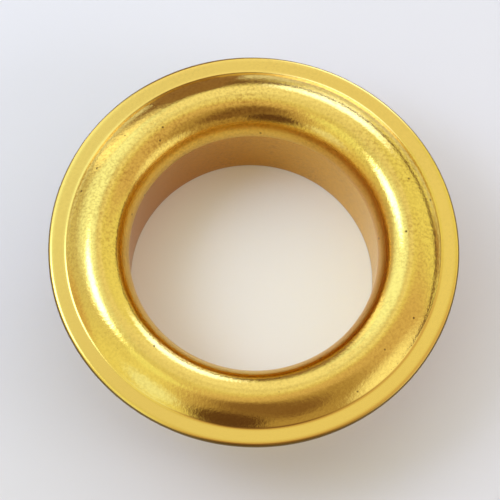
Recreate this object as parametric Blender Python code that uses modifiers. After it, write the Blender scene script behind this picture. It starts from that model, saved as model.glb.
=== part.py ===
# Grommet eyelet: a short brass tube with a wide beaded flange, drawn from one piece of sheet
#
# The eyelet stands on the cut end of its barrel, with the flange up and the bore along Z.
# The origin is the centre of the barrel's cut end.

import math

import bpy


# Driving dimensions, in metres

BORE_RADIUS = 0.0070        # inside of the barrel
SHEET = 0.00035             # thickness of the sheet, the same all along the section
BARREL_DEPTH = 0.0058       # cut end of the barrel to the upper face of the brim
ROLL_RADIUS = 0.00215       # arc from the straight bore up into the bead
ROLL_SLOPE = 30.0           # degrees off level where the roll passes into the crown
CROWN_RADIUS = 0.00142      # arc over the top of the bead
CROWN_SLOPE = 27.0          # degrees off level where the crown passes into the shoulder
SHOULDER_RADIUS = 0.0038    # arc of the bead's outer side, flatter than the crown
SHOULDER_SLOPE = 46.0       # degrees off level at the foot of the shoulder
CREASE_RADIUS = 0.00025     # hollow corner between the bead and the brim
BRIM_WIDTH = 0.00088        # flat ring outside the bead
RIM_ROUND = 0.0001          # worn corners of the brim's outer edge
END_ROUND = 0.00006         # broken corners of the barrel's cut end

# Slopes in radians

ROLL_END = math.radians(ROLL_SLOPE)
CROWN_END = math.radians(CROWN_SLOPE)
SHOULDER_END = math.radians(SHOULDER_SLOPE)

# Sizes that follow: roll, crown, shoulder and crease are four arcs, each touching the next

BEAD_RISE = (CROWN_RADIUS * (1 - math.cos(CROWN_END))
             + SHOULDER_RADIUS * (math.cos(CROWN_END) - math.cos(SHOULDER_END))
             + CREASE_RADIUS * (1 - math.cos(SHOULDER_END)))
ROLL_DEPTH = CROWN_RADIUS * (1 - math.cos(ROLL_END)) + ROLL_RADIUS * math.cos(ROLL_END)
STRAIGHT_BORE_HEIGHT = BARREL_DEPTH + BEAD_RISE - ROLL_DEPTH

# How finely the round stretches are divided

TURN_STEPS = 96
ROLL_STEPS = 6
CROWN_STEPS = 5
SHOULDER_STEPS = 3
CREASE_STEPS = 3
CORNER_STEPS = 2

BRASS_COLOUR = (0.72, 0.50, 0.13, 1.0)
BRASS_ROUGHNESS = 0.28


def turn_between(start, end, steps):
    """Angles from start to end, both included."""
    return [start + (end - start) * step / steps for step in range(steps + 1)]


def arc_stretch(touched, arc_radius, end_slope, steps):
    """Arc that leaves the touched point smoothly and turns to the given slope.

    Each point holds its radius, its height and the two parts of its outward direction.
    A positive arc radius bulges, and a negative one is hollow.
    """
    radius, height, across, along = touched
    middle_radius = radius - arc_radius * across
    middle_height = height - arc_radius * along
    stretch = []
    for slope in turn_between(math.atan2(across, along), end_slope, steps)[1:]:
        across = math.sin(slope)
        along = math.cos(slope)
        stretch.append((middle_radius + arc_radius * across,
                        middle_height + arc_radius * along, across, along))
    return stretch


def upper_face():
    """Seen face of the sheet, from the straight bore over the bead to the brim."""
    face = [(BORE_RADIUS, STRAIGHT_BORE_HEIGHT, -1, 0)]
    face += arc_stretch(face[-1], ROLL_RADIUS, -ROLL_END, ROLL_STEPS)
    face += arc_stretch(face[-1], CROWN_RADIUS, CROWN_END, CROWN_STEPS)
    face += arc_stretch(face[-1], SHOULDER_RADIUS, SHOULDER_END, SHOULDER_STEPS)
    face += arc_stretch(face[-1], -CREASE_RADIUS, 0, CREASE_STEPS)
    return face


def rounded_corner(middle_radius, middle_height, rounding, start):
    """Quarter circle that goes clockwise from the given angle."""
    corner = []
    for angle in turn_between(start, start - math.pi / 2, CORNER_STEPS):
        radius = middle_radius + rounding * math.cos(angle)
        height = middle_height + rounding * math.sin(angle)
        corner.append((radius, height))
    return corner


def sheet_section():
    """Closed outline of the sheet: up the bore, over the bead, round the rim and back below.

    The lower face is the upper face moved by the sheet's thickness along its normal,
    so the metal is as thick in the bends as in the brim.
    """
    face = upper_face()
    seen = [(radius, height) for radius, height, _, _ in face]
    hidden = [(radius - SHEET * across, height - SHEET * along)
              for radius, height, across, along in reversed(face)]

    crease_foot_radius = face[-1][0]
    rim_middle = crease_foot_radius + BRIM_WIDTH - RIM_ROUND
    upper_rim = rounded_corner(rim_middle, BARREL_DEPTH - RIM_ROUND, RIM_ROUND, math.pi / 2)
    lower_rim = rounded_corner(rim_middle, BARREL_DEPTH - SHEET + RIM_ROUND, RIM_ROUND, 0)

    outer_end = rounded_corner(BORE_RADIUS + SHEET - END_ROUND, END_ROUND, END_ROUND, 0)
    inner_end = rounded_corner(BORE_RADIUS + END_ROUND, END_ROUND, END_ROUND, -math.pi / 2)
    return seen + upper_rim + lower_rim + hidden + outer_end + inner_end


def brass():
    """Plain brass with the soft shine of drawn sheet."""
    material = bpy.data.materials.new("brass")
    material.use_nodes = True
    surface = material.node_tree.nodes["Principled BSDF"]
    surface.inputs["Base Color"].default_value = BRASS_COLOUR
    surface.inputs["Metallic"].default_value = 1.0
    surface.inputs["Roughness"].default_value = BRASS_ROUGHNESS
    return material


def turned_solid(name, outline, material):
    """Object whose closed outline, drawn in the XZ plane, is turned once about Z."""
    points = [(radius, 0.0, height) for radius, height in outline]
    edges = [(index, (index + 1) % len(points)) for index in range(len(points))]
    mesh = bpy.data.meshes.new(name)
    mesh.from_pydata(points, edges, [])
    mesh.materials.append(material)
    solid = bpy.data.objects.new(name, mesh)

    turn = solid.modifiers.new("turn", "SCREW")
    turn.steps = TURN_STEPS
    turn.render_steps = TURN_STEPS
    turn.use_merge_vertices = True
    turn.merge_threshold = 0.000001
    turn.use_smooth_shade = True

    shading = solid.modifiers.new("flat faces stay flat", "WEIGHTED_NORMAL")
    shading.weight = 100
    return solid


def main():
    for item in list(bpy.data.objects):
        bpy.data.objects.remove(item, do_unlink=True)

    collection = bpy.data.collections.new("grommet_eyelet")
    bpy.context.scene.collection.children.link(collection)
    collection.objects.link(turned_solid("eyelet", sheet_section(), brass()))


main()
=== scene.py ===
# %% [markdown]
# # A drawn brass eyelet
#
# The eyelet is one piece of thin brass sheet. A press draws a short tube out of the sheet, rounds
# its mouth into a bead, flattens the ring outside the bead and trims it round. This script dresses
# the plain solid of that eyelet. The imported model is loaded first, as a fixed frame, and its size
# is kept, because nothing that is made here may outgrow it.

# %% Load the frame
import math

import bpy
from mathutils import Matrix, Vector, noise


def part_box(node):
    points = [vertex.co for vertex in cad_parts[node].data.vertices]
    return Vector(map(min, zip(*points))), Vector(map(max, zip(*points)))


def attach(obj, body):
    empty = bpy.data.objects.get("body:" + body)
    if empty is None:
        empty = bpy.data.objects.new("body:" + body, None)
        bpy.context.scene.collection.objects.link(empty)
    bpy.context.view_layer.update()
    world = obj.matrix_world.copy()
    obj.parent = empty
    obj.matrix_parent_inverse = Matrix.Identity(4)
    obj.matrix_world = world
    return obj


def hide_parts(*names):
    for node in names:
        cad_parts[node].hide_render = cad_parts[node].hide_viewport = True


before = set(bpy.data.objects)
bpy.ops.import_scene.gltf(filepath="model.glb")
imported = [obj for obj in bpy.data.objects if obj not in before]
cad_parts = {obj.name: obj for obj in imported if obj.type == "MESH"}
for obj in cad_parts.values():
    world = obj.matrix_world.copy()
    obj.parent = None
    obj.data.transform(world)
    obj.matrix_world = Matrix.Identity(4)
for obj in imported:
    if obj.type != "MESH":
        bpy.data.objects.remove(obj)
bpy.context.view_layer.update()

low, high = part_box("eyelet")
print("the solid reaches from", tuple(low), "to", tuple(high))

# %% [markdown]
# Real sizes are easier to read in millimetres, and colours in the hex values of a paint chart.
# Blender works in metres and in linear light, so one value and one function turn them over.

# %% Millimetres and colours
MM = 0.001


def linear(hex_colour, strength=1.0):
    """Linear red, green, blue and alpha of an sRGB hex colour."""
    channels = []
    for start in (1, 3, 5):
        value = int(hex_colour[start:start + 2], 16) / 255
        value = value / 12.92 if value <= 0.04045 else ((value + 0.055) / 1.055) ** 2.4
        channels.append(value * strength)
    return (*channels, 1.0)


print("mid grey #808080 is", round(linear("#808080")[0], 3), "in linear light")

# %% [markdown]
# Every material below is a small graph of nodes. One function adds a node of any kind, makes the
# settings on its panel and fills its sockets. A socket that is given another node's output is
# linked to it, and any other value is typed into it.

# %% Add a node
def add(tree, kind, inputs=None, **settings):
    """New node with its settings made and its sockets filled or linked."""
    node = tree.nodes.new(kind)
    for name, value in settings.items():
        setattr(node, name, value)
    for name, value in (inputs or {}).items():
        if isinstance(value, bpy.types.NodeSocket):
            tree.links.new(value, node.inputs[name])
        else:
            node.inputs[name].default_value = value
    return node


print("node helper ready")

# %% [markdown]
# The camera comes first, because the finish is judged through it. It could be placed by eye, but
# the rim is a circle that shows as an ellipse, and an ellipse can be measured. How flat it is
# gives the tilt, and how much smaller the barrel's far end looks gives the distance. The lens is
# long, as for a close-up, and the picture has a slight roll.

# %% Camera
RIM_RADIUS = high.x
BRIM_HEIGHT = 5.8 * MM
CAMERA_TILT = math.radians(18.9)              # off the bore's axis, towards the viewer
CAMERA_ROLL = math.radians(4.45)
CAMERA_DISTANCE = 12 * RIM_RADIUS
NEAREST_SEEN = 5 * MM
FARTHEST_SEEN = 10                            # metres
SENSOR_WIDTH = 36                             # millimetres, as in a full-frame camera
IMAGE_WIDTH = 500                             # pixels
RIM_RADIUS_PIXELS = 205.9
BRIM_CENTRE_PIXELS = (254.1, 246.1)


def aim_camera():
    """Camera that sees the brim at its place and size in the picture."""
    pixels_per_radian = RIM_RADIUS_PIXELS * CAMERA_DISTANCE / RIM_RADIUS
    lens = bpy.data.cameras.new("close_up")
    lens.sensor_width = SENSOR_WIDTH
    lens.lens = SENSOR_WIDTH * pixels_per_radian / IMAGE_WIDTH
    lens.clip_start = NEAREST_SEEN
    lens.clip_end = FARTHEST_SEEN

    camera = bpy.data.objects.new("close_up", lens)
    towards_camera = Vector((0, -math.sin(CAMERA_TILT), math.cos(CAMERA_TILT)))
    camera.location = Vector((0, 0, BRIM_HEIGHT)) + CAMERA_DISTANCE * towards_camera
    pan = (BRIM_CENTRE_PIXELS[0] - IMAGE_WIDTH / 2) / pixels_per_radian
    nod = (BRIM_CENTRE_PIXELS[1] - IMAGE_WIDTH / 2) / pixels_per_radian
    turn = Matrix.Rotation(CAMERA_TILT, 4, "X") @ Matrix.Rotation(CAMERA_ROLL, 4, "Z")
    turn = turn @ Matrix.Rotation(pan, 4, "Y") @ Matrix.Rotation(nod, 4, "X")
    camera.rotation_euler = turn.to_euler()
    bpy.context.scene.collection.objects.link(camera)
    bpy.context.scene.camera = camera
    return lens.lens


lens_length = aim_camera()
print("camera with a", round(lens_length), "mm lens,", round(CAMERA_DISTANCE / MM), "mm away")

# %% [markdown]
# The section through the sheet is the drawing that a toolmaker would work from: a straight bore,
# then arcs that touch each other, over the bead and down its outer side into a tight crease, and
# a flat brim. The solid has the same section in few points. Here it is drawn finely, so that
# reflections run over the bead without a kink.

# %% Sizes of the section
BORE_RADIUS = 7.0 * MM
SHEET = 0.35 * MM
ROLL_RADIUS = 2.15 * MM
ROLL_END = math.radians(30)
CROWN_RADIUS = 1.42 * MM
CROWN_END = math.radians(27)
SHOULDER_RADIUS = 3.8 * MM
SHOULDER_END = math.radians(46)
CREASE_RADIUS = 0.25 * MM
RIM_ROUND = 0.1 * MM
RIM_SOFTENING = (0.25 * MM, 0.2 * MM)         # how far the worn upper corner reaches in and down
END_ROUND = 0.06 * MM

BEAD_RISE = (CROWN_RADIUS * (1 - math.cos(CROWN_END))
             + SHOULDER_RADIUS * (math.cos(CROWN_END) - math.cos(SHOULDER_END))
             + CREASE_RADIUS * (1 - math.cos(SHOULDER_END)))
STRAIGHT_BORE_HEIGHT = (BRIM_HEIGHT + BEAD_RISE - CROWN_RADIUS * (1 - math.cos(ROLL_END))
                        - ROLL_RADIUS * math.cos(ROLL_END))

print("the bead rises", round(BEAD_RISE / MM, 2), "mm over the brim")

# %% [markdown]
# Each point of the seen face is kept with the direction that the sheet faces there. The hidden
# face is then easy: it is the seen face moved by one sheet thickness against that direction, so
# the metal stays equally thick round every bend, as it does under a press.

# %% Points of the seen face
BORE_STEPS = 10
ROLL_STEPS = 36
CROWN_STEPS = 32
SHOULDER_STEPS = 16
CREASE_STEPS = 8
BRIM_STEPS = 6


def between(start, end, steps):
    """Evenly spaced values from start to end, both included."""
    return [start + (end - start) * step / steps for step in range(steps + 1)]


def arc_points(touched, arc_radius, end_slope, steps):
    """Arc that leaves the last point smoothly, bulging or, with a negative radius, hollow."""
    place, facing = touched
    middle = place - arc_radius * facing
    points = []
    for slope in between(math.atan2(facing.x, facing.y), end_slope, steps)[1:]:
        facing = Vector((math.sin(slope), math.cos(slope)))
        points.append((middle + arc_radius * facing, facing))
    return points


def straight_points(start, end, steps):
    """Straight stretch whose points all face the way that the first one does."""
    place, facing = start
    return [(place.lerp(end, share), facing) for share in between(0, 1, steps)]


bead = [(Vector((BORE_RADIUS, STRAIGHT_BORE_HEIGHT)), Vector((-1, 0)))]
bead += arc_points(bead[-1], ROLL_RADIUS, -ROLL_END, ROLL_STEPS)
bead += arc_points(bead[-1], CROWN_RADIUS, CROWN_END, CROWN_STEPS)
bead += arc_points(bead[-1], SHOULDER_RADIUS, SHOULDER_END, SHOULDER_STEPS)
crease = bead[-1:] + arc_points(bead[-1], -CREASE_RADIUS, 0, CREASE_STEPS)
bore = straight_points(bead[0], Vector((BORE_RADIUS, END_ROUND)), BORE_STEPS)[::-1]
brim = straight_points(crease[-1], Vector((RIM_RADIUS - RIM_SOFTENING[0], BRIM_HEIGHT)),
                       BRIM_STEPS)
bead_top = max(place.y for place, facing in bead)
brim_start, brim_end = [place.x for place, facing in (brim[0], brim[-1])]
print("the brim is flat from", round(brim_start / MM, 2), "to", round(brim_end / MM, 2), "mm")
print("the top of the bead lies", round(bead_top / MM, 2), "mm up")

# %% [markdown]
# The outline is closed by the worn corners of the rim, the hidden face and the broken corners of
# the barrel's cut end. It is kept as stretches, because the press leaves a finish of its own on
# each of them: the bead is grainy, the brim is pressed flat and smooth, and the edges are cut.
# Half of the rim's worn corner shines like the brim, and half is dull like the cut edge. The cut
# brass is darker partly for its dull cut finish and partly as painted shade for the dark line round
# the rim.

# %% Stretches of the closed section
CORNER_STEPS = 8
HALF_CORNER = CORNER_STEPS // 2


def corner(middle, across, along, start):
    """Quarter of an oval that goes clockwise from the start angle."""
    return [middle + Vector((across * math.cos(angle), along * math.sin(angle)))
            for angle in between(start, start - math.pi / 2, CORNER_STEPS)]


def places(points):
    """Points of the seen face, without the directions."""
    return [place for place, facing in points]


def hidden_side(points):
    """Points of the hidden face under those of the seen one, in the opposite order."""
    return [place - SHEET * facing for place, facing in reversed(points)]


soft_in, soft_down = RIM_SOFTENING
upper_corner = corner(Vector((RIM_RADIUS - soft_in, BRIM_HEIGHT - soft_down)), soft_in, soft_down,
                      math.pi / 2)
lower_corner = corner(Vector((RIM_RADIUS - RIM_ROUND, BRIM_HEIGHT - SHEET + RIM_ROUND)),
                      RIM_ROUND, RIM_ROUND, 0)
cut_end = (corner(Vector((BORE_RADIUS + SHEET - END_ROUND, END_ROUND)), END_ROUND, END_ROUND, 0)
           + corner(Vector((BORE_RADIUS + END_ROUND, END_ROUND)), END_ROUND, END_ROUND,
                    -math.pi / 2))

stretches = [
    ("bore", places(bore)),
    ("bead", places(bead)),
    ("brim", places(crease + brim[1:]) + upper_corner[1:HALF_CORNER + 1]),
    ("edge", upper_corner[HALF_CORNER:] + lower_corner),
    ("underside", hidden_side(bore + bead[1:] + crease[1:] + brim[1:])),
    ("edge", cut_end),
]
print(sum(len(points) for finish, points in stretches), "points in", len(stretches), "stretches")

# %% [markdown]
# A lathe shape is a section turned about its axis, so the closed outline is set down again and
# again round the bore, and each gap between two of its points becomes a band of faces with the
# finish of its stretch. Blender's Screw modifier would turn it too, but plain code keeps the bands
# apart. A press never leaves a ring quite true, so the metal also gets a waviness of a hundredth
# of a millimetre, which is what breaks up the mirror images on a real bead.

# %% Turn the section
TURN_STEPS = 360
WAVE_LENGTH = 3.5 * MM
WAVE_HEIGHT = 0.012 * MM
FINISHES = ("bead", "bore", "brim", "edge", "underside")


def turned_place(place, angle):
    """Where a point of the section comes to lie after a turn, with the press's waviness."""
    outward = Vector((math.cos(angle), math.sin(angle), 0))
    true_place = place.x * outward + Vector((0, 0, place.y))
    return true_place + WAVE_HEIGHT * noise.noise(true_place / WAVE_LENGTH) * outward


def turn_eyelet():
    """The whole eyelet as one closed skin.

    The next stretch's first point closes a stretch, so the stretch's own last point is dropped.
    """
    kept = [(finish, place) for finish, points in stretches for place in points[:-1]]
    bands = [FINISHES.index(finish) for finish, place in kept]
    vertices = [turned_place(place, math.tau * step / TURN_STEPS)
                for step in range(TURN_STEPS) for finish, place in kept]
    faces = []
    for step in range(TURN_STEPS):
        this_ring = step * len(kept)
        next_ring = (step + 1) % TURN_STEPS * len(kept)
        for point in range(len(kept)):
            next_point = (point + 1) % len(kept)
            faces.append((this_ring + point, this_ring + next_point,
                          next_ring + next_point, next_ring + point))
    mesh = bpy.data.meshes.new("brass_eyelet")
    mesh.from_pydata(vertices, [], faces)
    mesh.polygons.foreach_set("material_index", bands * TURN_STEPS)
    mesh.polygons.foreach_set("use_smooth", [True] * len(faces))
    piece = bpy.data.objects.new("brass_eyelet", mesh)
    bpy.context.scene.collection.objects.link(piece)
    return piece


eyelet = turn_eyelet()
print("the fine eyelet has", len(eyelet.data.polygons), "faces")

# %% [markdown]
# The metal is drawing brass: copper with about a third of zinc, rolled into sheet and pressed
# cold. A metal has no colour under its shine, and its base colour tints all that it mirrors.
# Drawing stretches the sheet and its grains stand up as a fine orange peel, so the bead sparkles
# and its mirror images have ragged edges, while the pressed brim stays smooth. The peel is finer
# than any mesh, so it is relief in the material. It is drawn a little coarser than real, so that
# it shows.

# %% Brass and its grain
BRASS = "#EAC864"
BEAD_BRASS = "#EECE68"
BORE_BRASS_SHADED_LEFT = ("#C88624", "#E8B830")           # painted shade at the left, lit at the right
# Darker cut brass: partly the dull cut finish, partly painted shade for the dark line round the
# rim.
CUT_BRASS_SHADED = "#7E6638"
GRAIN_SIZE = 0.2 * MM


def grain_relief(tree, place, height):
    """Normal of a surface whose grains stand up by a height in metres."""
    grain = add(tree, "ShaderNodeTexNoise",
                {"Vector": place, "Scale": 1 / GRAIN_SIZE, "Detail": 2.0, "Roughness": 0.6})
    relief = add(tree, "ShaderNodeBump", {"Height": grain.outputs["Fac"], "Distance": height})
    return relief.outputs["Normal"]


def drawn_brass(name, colour, roughness, grain_height):
    """Brass that keeps the grain of the drawn sheet."""
    material = bpy.data.materials.new(name)
    material.use_nodes = True
    tree = material.node_tree
    surface = tree.nodes["Principled BSDF"]
    surface.inputs["Base Color"].default_value = linear(colour)
    surface.inputs["Metallic"].default_value = 1.0
    surface.inputs["Roughness"].default_value = roughness
    place = add(tree, "ShaderNodeTexCoord").outputs["Object"]
    tree.links.new(grain_relief(tree, place, grain_height), surface.inputs["Normal"])
    return material


# A smoother metal gives the eye sharper mirror images: the bead's are sharpest, and the cut edge
# hardly has any. The two numbers are the roughness and the height of the grain.
brass = {
    "bead": drawn_brass("grainy drawn brass", BEAD_BRASS, 0.13, 0.008 * MM),
    "bore": drawn_brass("drawn brass of the bore", BORE_BRASS_SHADED_LEFT[0], 0.26, 0.008 * MM),
    "brim": drawn_brass("pressed brass of the brim", BRASS, 0.16, 0.001 * MM),
    "edge": drawn_brass("cut brass, dulled and shaded", CUT_BRASS_SHADED, 0.35, 0.002 * MM),
    "underside": drawn_brass("drawn brass underside", BRASS, 0.3, 0.004 * MM),
}
print("finishes:", ", ".join(material.name for material in brass.values()))

# %% [markdown]
# Where the bead turns down into the bore, the polish ends. The mouth is duller, and on its right it
# is painted orange brown: painted shade, for the shaded wall of the bore that the mouth mirrors
# there. It could be painted on the mesh, but both the polish and the painted shade end at a certain
# distance from the bore's axis, so that distance is all it takes.

# %% Mouth of the bore
MOUTH_BRASS = "#E2BA50"
MOUTH_ROUGHNESS = 0.32
MOUTH_REACH = (7.2 * MM, 7.7 * MM)            # radii between which the polish begins
# Painted shade: orange brown on the right of the mouth, for the shaded wall that it mirrors.
MOUTH_SHADE = "#CD8A36"
MOUTH_SHADE_REACH = (7.55 * MM, 8.0 * MM)         # radii between which the painted shade ends
MOUTH_SHADE_SHARE = 0.5                           # at its strongest
MOUTH_SHADE_SIDE = 0.8 * BORE_RADIUS              # how far to the right it is strongest


def mouth_colour(material):
    """Colour of the dull mouth, with painted shade on its right, that turns into the polished
    bead's.
    """
    tree = material.node_tree
    place = add(tree, "ShaderNodeTexCoord").outputs["Object"]
    flat_place = add(tree, "ShaderNodeVectorMath", {0: place, 1: (1, 1, 0)}, operation="MULTIPLY")
    out = add(tree, "ShaderNodeVectorMath", {0: flat_place.outputs["Vector"]}, operation="LENGTH")
    polish = add(tree, "ShaderNodeMapRange",
                 {"Value": out.outputs["Value"], "From Min": MOUTH_REACH[0],
                  "From Max": MOUTH_REACH[1]}, interpolation_type="SMOOTHSTEP")
    polished = add(tree, "ShaderNodeMix", {0: polish.outputs["Result"], 6: linear(MOUTH_BRASS),
                                           7: linear(BEAD_BRASS)}, data_type="RGBA")
    roughness = tree.nodes["Principled BSDF"].inputs["Roughness"]
    blur = add(tree, "ShaderNodeMapRange",
               {"Value": polish.outputs["Result"], "To Min": MOUTH_ROUGHNESS,
                "To Max": roughness.default_value})
    tree.links.new(blur.outputs["Result"], roughness)

    inside = add(tree, "ShaderNodeMapRange",
                 {"Value": out.outputs["Value"], "From Min": MOUTH_SHADE_REACH[1],
                  "From Max": MOUTH_SHADE_REACH[0]}, interpolation_type="SMOOTHSTEP")
    across = add(tree, "ShaderNodeSeparateXYZ", {"Vector": place})
    right = add(tree, "ShaderNodeMapRange",
                {"Value": across.outputs["X"], "From Max": MOUTH_SHADE_SIDE, "To Max": MOUTH_SHADE_SHARE},
                interpolation_type="SMOOTHSTEP")
    painted_mouth_shade = add(tree, "ShaderNodeMath",
                  {0: inside.outputs["Result"], 1: right.outputs["Result"]}, operation="MULTIPLY")
    shaded_mouth = add(tree, "ShaderNodeMix", {0: painted_mouth_shade.outputs["Value"], 6: polished.outputs[2],
                                            7: linear(MOUTH_SHADE)}, data_type="RGBA")
    return shaded_mouth.outputs[2]


bead_colour = mouth_colour(brass["bead"])
print("the mouth is dull up to", round(MOUTH_REACH[1] / MM, 1), "mm from the bore's axis")

# %% [markdown]
# The wall of the bore was drawn but never polished. It is painted browner at the left than at the
# right: painted shade, because the left of the wall mirrors the paper in the bore's shadow. One
# colour would leave it flat, so two are blended across the bore.

# %% Wall of the bore
def bore_painted_shade(material):
    """Colour of the bore's wall, with painted shade browner on its left."""
    tree = material.node_tree
    place = add(tree, "ShaderNodeTexCoord").outputs["Object"]
    across = add(tree, "ShaderNodeSeparateXYZ", {"Vector": place})
    right = add(tree, "ShaderNodeMapRange", {"Value": across.outputs["X"],
                                             "From Min": -BORE_RADIUS, "From Max": BORE_RADIUS})
    wall = add(tree, "ShaderNodeMix", {0: right.outputs["Result"], 6: linear(BORE_BRASS_SHADED_LEFT[0]),
                                       7: linear(BORE_BRASS_SHADED_LEFT[1])}, data_type="RGBA")
    return wall.outputs[2]


wall_painted_shade = bore_painted_shade(brass["bore"])
print("the wall turns from", BORE_BRASS_SHADED_LEFT[0], "to", BORE_BRASS_SHADED_LEFT[1], "across the bore")

# %% [markdown]
# Not every grain takes the polish alike. Some stay dull, in clusters, and there are more of them
# towards the back, which gives the metal its speckle. Three patterns are multiplied for that: the
# grains, the clusters and the side. The speckle too is drawn a little coarser than real.

# %% Speckle of dull grains
DULL_BRASS = "#A87A2C"
SPECKLE_SIZE = 0.16 * MM
SPECKLE_RANGE = (0.4, 0.75)                   # of the noise, from a bright grain to a dull one
CLUSTER_SIZE = 2.5 * MM
CLUSTER_RANGE = (0.35, 0.65)
SPECKLE_SIDE = (-0.8 * RIM_RADIUS, 0.5 * RIM_RADIUS)      # from the front towards the back
LEAST_CROWD = 0.4                             # between the clusters, as a share
LEAST_AT_FRONT = 0.4


def add_speckle(material, colour, share):
    """Duller grains, in clusters and denser towards the back, mixed in by a share."""
    tree = material.node_tree
    place = add(tree, "ShaderNodeTexCoord").outputs["Object"]
    grains = add(tree, "ShaderNodeTexNoise",
                 {"Vector": place, "Scale": 1 / SPECKLE_SIZE, "Detail": 3.0})
    dull = add(tree, "ShaderNodeMapRange",
               {"Value": grains.outputs["Fac"], "From Min": SPECKLE_RANGE[0],
                "From Max": SPECKLE_RANGE[1], "To Max": share})
    clusters = add(tree, "ShaderNodeTexNoise", {"Vector": place, "Scale": 1 / CLUSTER_SIZE})
    crowd = add(tree, "ShaderNodeMapRange",
                {"Value": clusters.outputs["Fac"], "From Min": CLUSTER_RANGE[0],
                 "From Max": CLUSTER_RANGE[1], "To Min": LEAST_CROWD})
    along = add(tree, "ShaderNodeSeparateXYZ", {"Vector": place})
    side = add(tree, "ShaderNodeMapRange",
               {"Value": along.outputs["Y"], "From Min": SPECKLE_SIDE[0],
                "From Max": SPECKLE_SIDE[1], "To Min": LEAST_AT_FRONT})
    clustered = add(tree, "ShaderNodeMath",
                    {0: dull.outputs["Result"], 1: crowd.outputs["Result"]},
                    operation="MULTIPLY")
    cover = add(tree, "ShaderNodeMath",
                {0: clustered.outputs["Value"], 1: side.outputs["Result"]},
                operation="MULTIPLY")
    speckled = add(tree, "ShaderNodeMix", {0: cover.outputs["Value"], 6: colour,
                                           7: linear(DULL_BRASS)}, data_type="RGBA")
    tree.links.new(speckled.outputs[2], tree.nodes["Principled BSDF"].inputs["Base Color"])
    return speckled.outputs[2]


add_speckle(brass["bore"], wall_painted_shade, 0.6)
add_speckle(brass["brim"], linear(BRASS), 0.12)
bead_colour = add_speckle(brass["bead"], bead_colour, 0.68)
print("speckle of", round(SPECKLE_SIZE / MM, 2), "mm on the bore, the brim and the bead")

# %% [markdown]
# A few grains came out of the bead in the press and left dark pits. A pattern of scattered points
# places them: each point has a random colour, and the ones that are red enough get a pit.

# %% Pits in the bead
PIT_BRASS = "#64461E"
PIT_SPACING = 0.7 * MM
PIT_RADIUS = 0.09 * MM
PIT_FLOOR = 0.4                               # share of its radius that is fully dark
PIT_SHARE = 0.2                               # share of the points that get a pit


def add_pits(material, colour):
    """Dark pits at a few of the points of a scattered net."""
    tree = material.node_tree
    place = add(tree, "ShaderNodeTexCoord").outputs["Object"]
    net = add(tree, "ShaderNodeTexVoronoi", {"Vector": place, "Scale": 1 / PIT_SPACING})
    near = add(tree, "ShaderNodeMapRange",
               {"Value": net.outputs["Distance"], "From Min": PIT_RADIUS / PIT_SPACING,
                "From Max": PIT_FLOOR * PIT_RADIUS / PIT_SPACING})
    chosen = add(tree, "ShaderNodeSeparateColor", {"Color": net.outputs["Color"]})
    picked = add(tree, "ShaderNodeMath", {0: chosen.outputs["Red"], 1: 1 - PIT_SHARE},
                 operation="GREATER_THAN")
    depth = add(tree, "ShaderNodeMath", {0: near.outputs["Result"], 1: picked.outputs["Value"]},
                operation="MULTIPLY")
    pitted = add(tree, "ShaderNodeMix", {0: depth.outputs["Value"], 6: colour,
                                         7: linear(PIT_BRASS)}, data_type="RGBA")
    tree.links.new(pitted.outputs[2], tree.nodes["Principled BSDF"].inputs["Base Color"])


add_pits(brass["bead"], bead_colour)
print("pits of", round(2 * PIT_RADIUS / MM, 2), "mm in the bead")

# %% [markdown]
# The dressed eyelet now takes the plain solid's place. It rides on the only body that there is,
# and the solid stays behind it for collision.

# %% Hand over to the frame
for finish in FINISHES:
    eyelet.data.materials.append(brass[finish])
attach(eyelet, "root")
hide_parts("eyelet")
print(len(eyelet.data.materials), "finishes on the eyelet")

# %% [markdown]
# The eyelet stands on plain uncoated paper. Its fibres scatter light, so it is matt and shows soft
# shadows and the warm light that the brass throws down through the bore. Its tone is painted light
# and shade: lighter under the bore, where the eyelet shades the paper, and greyer past the rim, for
# the light of a small tent that falls off outwards. It is a flat round sheet, because only its
# colour matters here.

# %% Paper floor
# Painted light: the paper is lighter under the bore, where the eyelet shades it.
PAPER_LIT_UNDER_BORE = "#FAFAF3"
# Painted shade: the paper is greyer past the rim.
PAPER_SHADED_AWAY = "#D7D5D4"
MATT_ROUGHNESS = 0.9
MATT_SHEEN = 0.2                              # specular level, less than the usual half
TENT_RADIUS = 11 * RIM_RADIUS
PAPER_RADIUS = 0.999 * TENT_RADIUS
PAPER_CORNERS = 128


def matt(name, colour):
    """Matt surface in one colour."""
    material = bpy.data.materials.new(name)
    material.use_nodes = True
    surface = material.node_tree.nodes["Principled BSDF"]
    surface.inputs["Base Color"].default_value = linear(colour)
    surface.inputs["Roughness"].default_value = MATT_ROUGHNESS
    surface.inputs["Specular IOR Level"].default_value = MATT_SHEEN
    return material


def lay_paper():
    """Round sheet of paper that fills the foot of the light tent, with painted light and shade."""
    bpy.ops.mesh.primitive_circle_add(vertices=PAPER_CORNERS, radius=PAPER_RADIUS,
                                      fill_type="NGON")
    paper = bpy.context.object
    paper.name = "paper_floor"
    material = matt("matt pale paper", PAPER_LIT_UNDER_BORE)
    tree = material.node_tree
    place = add(tree, "ShaderNodeTexCoord").outputs["Object"]
    out = add(tree, "ShaderNodeVectorMath", {0: place}, operation="LENGTH")
    # Painted light and shade: the paper turns from lighter under the bore to greyer past the rim.
    paper_falloff = add(tree, "ShaderNodeMapRange",
               {"Value": out.outputs["Value"], "From Min": BORE_RADIUS, "From Max": RIM_RADIUS},
               interpolation_type="SMOOTHSTEP")
    paper_light_and_shade = add(tree, "ShaderNodeMix", {0: paper_falloff.outputs["Result"], 6: linear(PAPER_LIT_UNDER_BORE),
                                       7: linear(PAPER_SHADED_AWAY)}, data_type="RGBA")
    tree.links.new(paper_light_and_shade.outputs[2], tree.nodes["Principled BSDF"].inputs["Base Color"])
    paper.data.materials.append(material)


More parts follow.
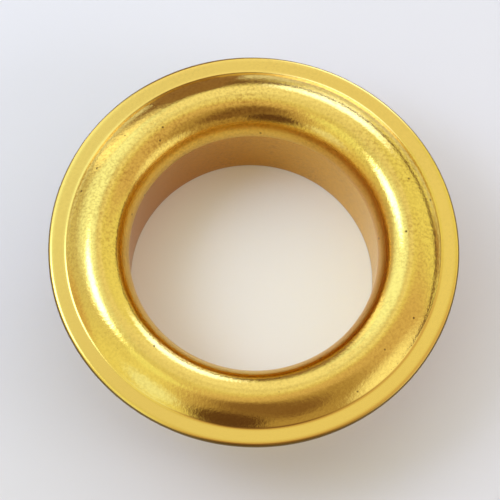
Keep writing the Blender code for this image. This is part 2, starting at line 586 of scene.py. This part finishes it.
lay_paper()
print("paper floor,", round(2 * PAPER_RADIUS / MM), "mm across")

# %% [markdown]
# Two dark things make the bead look round. A dark card stands behind the eyelet, out of the
# picture, and shows as a brown patch in the steep outer side of the bead. A dark strip hangs
# on the right, rising towards the back, and shows as a thin brown line along the bead. They could
# be dark patches of the tent, but near things move over the bead as they do in real metal.

# %% Dark card and dark strip
CARD_CORNERS = [(-17, 0), (-2, 0), (-6, 12.5), (-14, 12.5)]       # across and up, in millimetres
CARD_DISTANCE = 26 * MM
CARD_COLOUR = "#A28270"
STRIP_DISTANCE = 120 * MM
STRIP_RISES = [(-25, 8 * MM), (20, 17 * MM), (100, 22 * MM)]      # degrees round, middle's height
STRIP_STEPS = 24                              # from one rise to the next
STRIP_WIDTH = 9 * MM
STRIP_COLOUR = "#5A2410"


def dark_piece(name, vertices, faces, colour):
    """Staged piece that only the brass mirrors."""
    mesh = bpy.data.meshes.new(name)
    mesh.from_pydata(vertices, [], faces)
    mesh.materials.append(matt(name, colour))
    piece = bpy.data.objects.new(name, mesh)
    bpy.context.scene.collection.objects.link(piece)
    piece.visible_camera = False
    piece.visible_diffuse = False
    piece.visible_shadow = False


def strip_points(offset):
    """Points along the strip, at an offset from its middle line."""
    points = []
    for (start, low_end), (end, high_end) in zip(STRIP_RISES, STRIP_RISES[1:]):
        for share in between(0, 1, STRIP_STEPS):
            angle = math.radians(start + (end - start) * share)
            points.append((STRIP_DISTANCE * math.cos(angle), STRIP_DISTANCE * math.sin(angle),
                           low_end + (high_end - low_end) * share + offset))
    return points


dark_piece("dark_card", [(across * MM, CARD_DISTANCE, height * MM)
                         for across, height in CARD_CORNERS], [(0, 1, 2, 3)], CARD_COLOUR)
strip_rows = strip_points(-STRIP_WIDTH / 2) + strip_points(STRIP_WIDTH / 2)
row = len(strip_rows) // 2
dark_piece("dark_strip", strip_rows, [(point, point + 1, point + 1 + row, point + row)
                                      for point in range(row - 1)], STRIP_COLOUR)
print("the card stands", round(CARD_DISTANCE / MM), "mm behind the bore's axis")

# %% [markdown]
# Polished metal shows what stands round it, so the light has to be a place and not only a lamp.
# It is a light tent: a dome of white cloth that glows where lamps stand outside it and is dimmer
# at the opening, where the viewer stands. Each patch has a direction round from the right, an
# angle down from straight up, and two angles from its middle between which it fades out.

# %% Patches of the light tent
TENT_LIGHT = "#FCFFD8"
TENT_PATCHES = [
    ("ceiling", 97, 20, 3, 20, "#FCFFFC", 1.28),
    ("right wall", 310, 54, 40, 65, "#FFE8D0", 0.77),
    ("left wall", 136, 60, 20, 71, "#FFFCF4", 0.71),
    ("upper left", 145, 46, 15, 36, "#D4E8FF", 1.8),
    ("back", 93, 47, 14, 25, "#F4F8FF", 1.2),
    ("back left", 128, 82, 9, 17, "#F8FCFF", 1.7),
    ("left low", 190, 90, 6, 20, "#FFE4C0", 0.75),
    ("left lamp", 177, 41, 4, 17, "#CCDAFF", 7.4),
    ("back right lamp", 72, 71, 2, 20, "#B0C0FF", 5.4),
    ("dark back", 110, 94, 9, 30, "#FFC4A4", 0.25),
    ("left front", 230, 65, 5, 14, "#DCECFF", 1.5),
    ("front", 288, 60, 24, 45, "#FFE0B4", 0.5),
    ("front reddish", 265, 67, 10, 18, "#FFBCA0", 0.13),
    ("front dark", 294, 54, 4, 17, "#FFC8A0", 0.25),
    ("left front high", 215, 32, 3, 16, "#F4FFE0", 1.15),
    ("front high", 276, 43, 3, 18, "#FFCCA8", 0.26),
    ("right front", 334, 79, 1, 24, "#F8FCFF", 1.3),
    ("right low", 21, 92, 4, 14, "#FFD8B0", 0.5),
]


def direction(around, from_up):
    """Unit vector for two angles in degrees."""
    around = math.radians(around)
    from_up = math.radians(from_up)
    flat = math.sin(from_up)
    return Vector((flat * math.cos(around), flat * math.sin(around), math.cos(from_up)))


print("tent with", len(TENT_PATCHES), "patches of light and shade")

# %% [markdown]
# The cloth is a sphere that gives off light. A painted picture of a studio would do the same, but
# here each patch is laid over the ones before it by how near a direction is to the patch's own,
# and so every lamp can be moved by one number.

# %% Light tent
TENT_SEGMENTS = 96
TENT_RINGS = 48


def hang_tent():
    """Glowing dome that the brass mirrors and the camera looks through."""
    bpy.ops.mesh.primitive_uv_sphere_add(segments=TENT_SEGMENTS, ring_count=TENT_RINGS,
                                         radius=TENT_RADIUS)
    tent = bpy.context.object
    tent.name = "light_tent"
    tent.visible_camera = False
    material = bpy.data.materials.new("lit tent cloth")
    material.use_nodes = True
    tree = material.node_tree
    tree.nodes.remove(tree.nodes["Principled BSDF"])
    place = add(tree, "ShaderNodeTexCoord")
    towards = add(tree, "ShaderNodeVectorMath", {0: place.outputs["Object"]},
                  operation="NORMALIZE")
    glow = linear(TENT_LIGHT)
    for name, around, from_up, inner, outer, colour, strength in TENT_PATCHES:
        nearness = add(tree, "ShaderNodeVectorMath",
                       {0: towards.outputs["Vector"], 1: direction(around, from_up)},
                       operation="DOT_PRODUCT", label=name)
        cover = add(tree, "ShaderNodeMapRange",
                    {"Value": nearness.outputs["Value"],
                     "From Min": math.cos(math.radians(outer)),
                     "From Max": math.cos(math.radians(inner))},
                    interpolation_type="SMOOTHSTEP")
        covered = add(tree, "ShaderNodeMix", {0: cover.outputs["Result"], 6: glow,
                                              7: linear(colour, strength)}, data_type="RGBA")
        glow = covered.outputs[2]
    emission = add(tree, "ShaderNodeEmission", {"Color": glow})
    tree.links.new(emission.outputs[0], tree.nodes["Material Output"].inputs["Surface"])
    tent.data.materials.append(material)


hang_tent()
print("tent hung,", round(2 * TENT_RADIUS / MM), "mm across")

# %% [markdown]
# The tent's lamps throw the eyelet's shadow over the paper at the lower right. Two soft lamps fill
# it up. They are set to leave no mirror image, so they light the paper and the brass keeps its
# look.

# %% Lamps for the paper
LAMP_RADIUS = 30 * MM
LAMP_DISTANCE = 110 * MM
PAPER_LAMPS = [("right_lamp", 348, 64, "#E8EEFF", 0.045),
               ("upper_left_lamp", 155, 40, "#FFF8F0", 0.013)]


def hang_lamp(name, around, from_up, colour, watts):
    """Soft round lamp that points at the eyelet."""
    lamp = bpy.data.lights.new(name, "AREA")
    lamp.shape = "DISK"
    lamp.size = 2 * LAMP_RADIUS
    lamp.energy = watts
    lamp.color = linear(colour)[:3]
    holder = bpy.data.objects.new(name, lamp)
    holder.location = LAMP_DISTANCE * direction(around, from_up)
    holder.rotation_euler = direction(around, from_up).to_track_quat("Z", "Y").to_euler()
    holder.visible_glossy = False
    bpy.context.scene.collection.objects.link(holder)


for lamp in PAPER_LAMPS:
    hang_lamp(*lamp)
print(len(PAPER_LAMPS), "lamps for the paper")

# %% [markdown]
# Past the paper's edge the camera sees the world. It has the paper's own pale colour, so the
# floor seems to go on. The view transform is Standard, which shows a colour as it was written.

# %% World and view
WORLD_COLOUR = "#E4E2E5"

world = bpy.data.worlds.new("pale studio")
world.use_nodes = True
world.node_tree.nodes["Background"].inputs["Color"].default_value = linear(WORLD_COLOUR)
bpy.context.scene.world = world
bpy.context.scene.view_settings.view_transform = "Standard"
print("world and view are set")

# %% [markdown]
# Last, the view layer is updated, so that all that was made is in place.

# %% Update the view layer
bpy.context.view_layer.update()
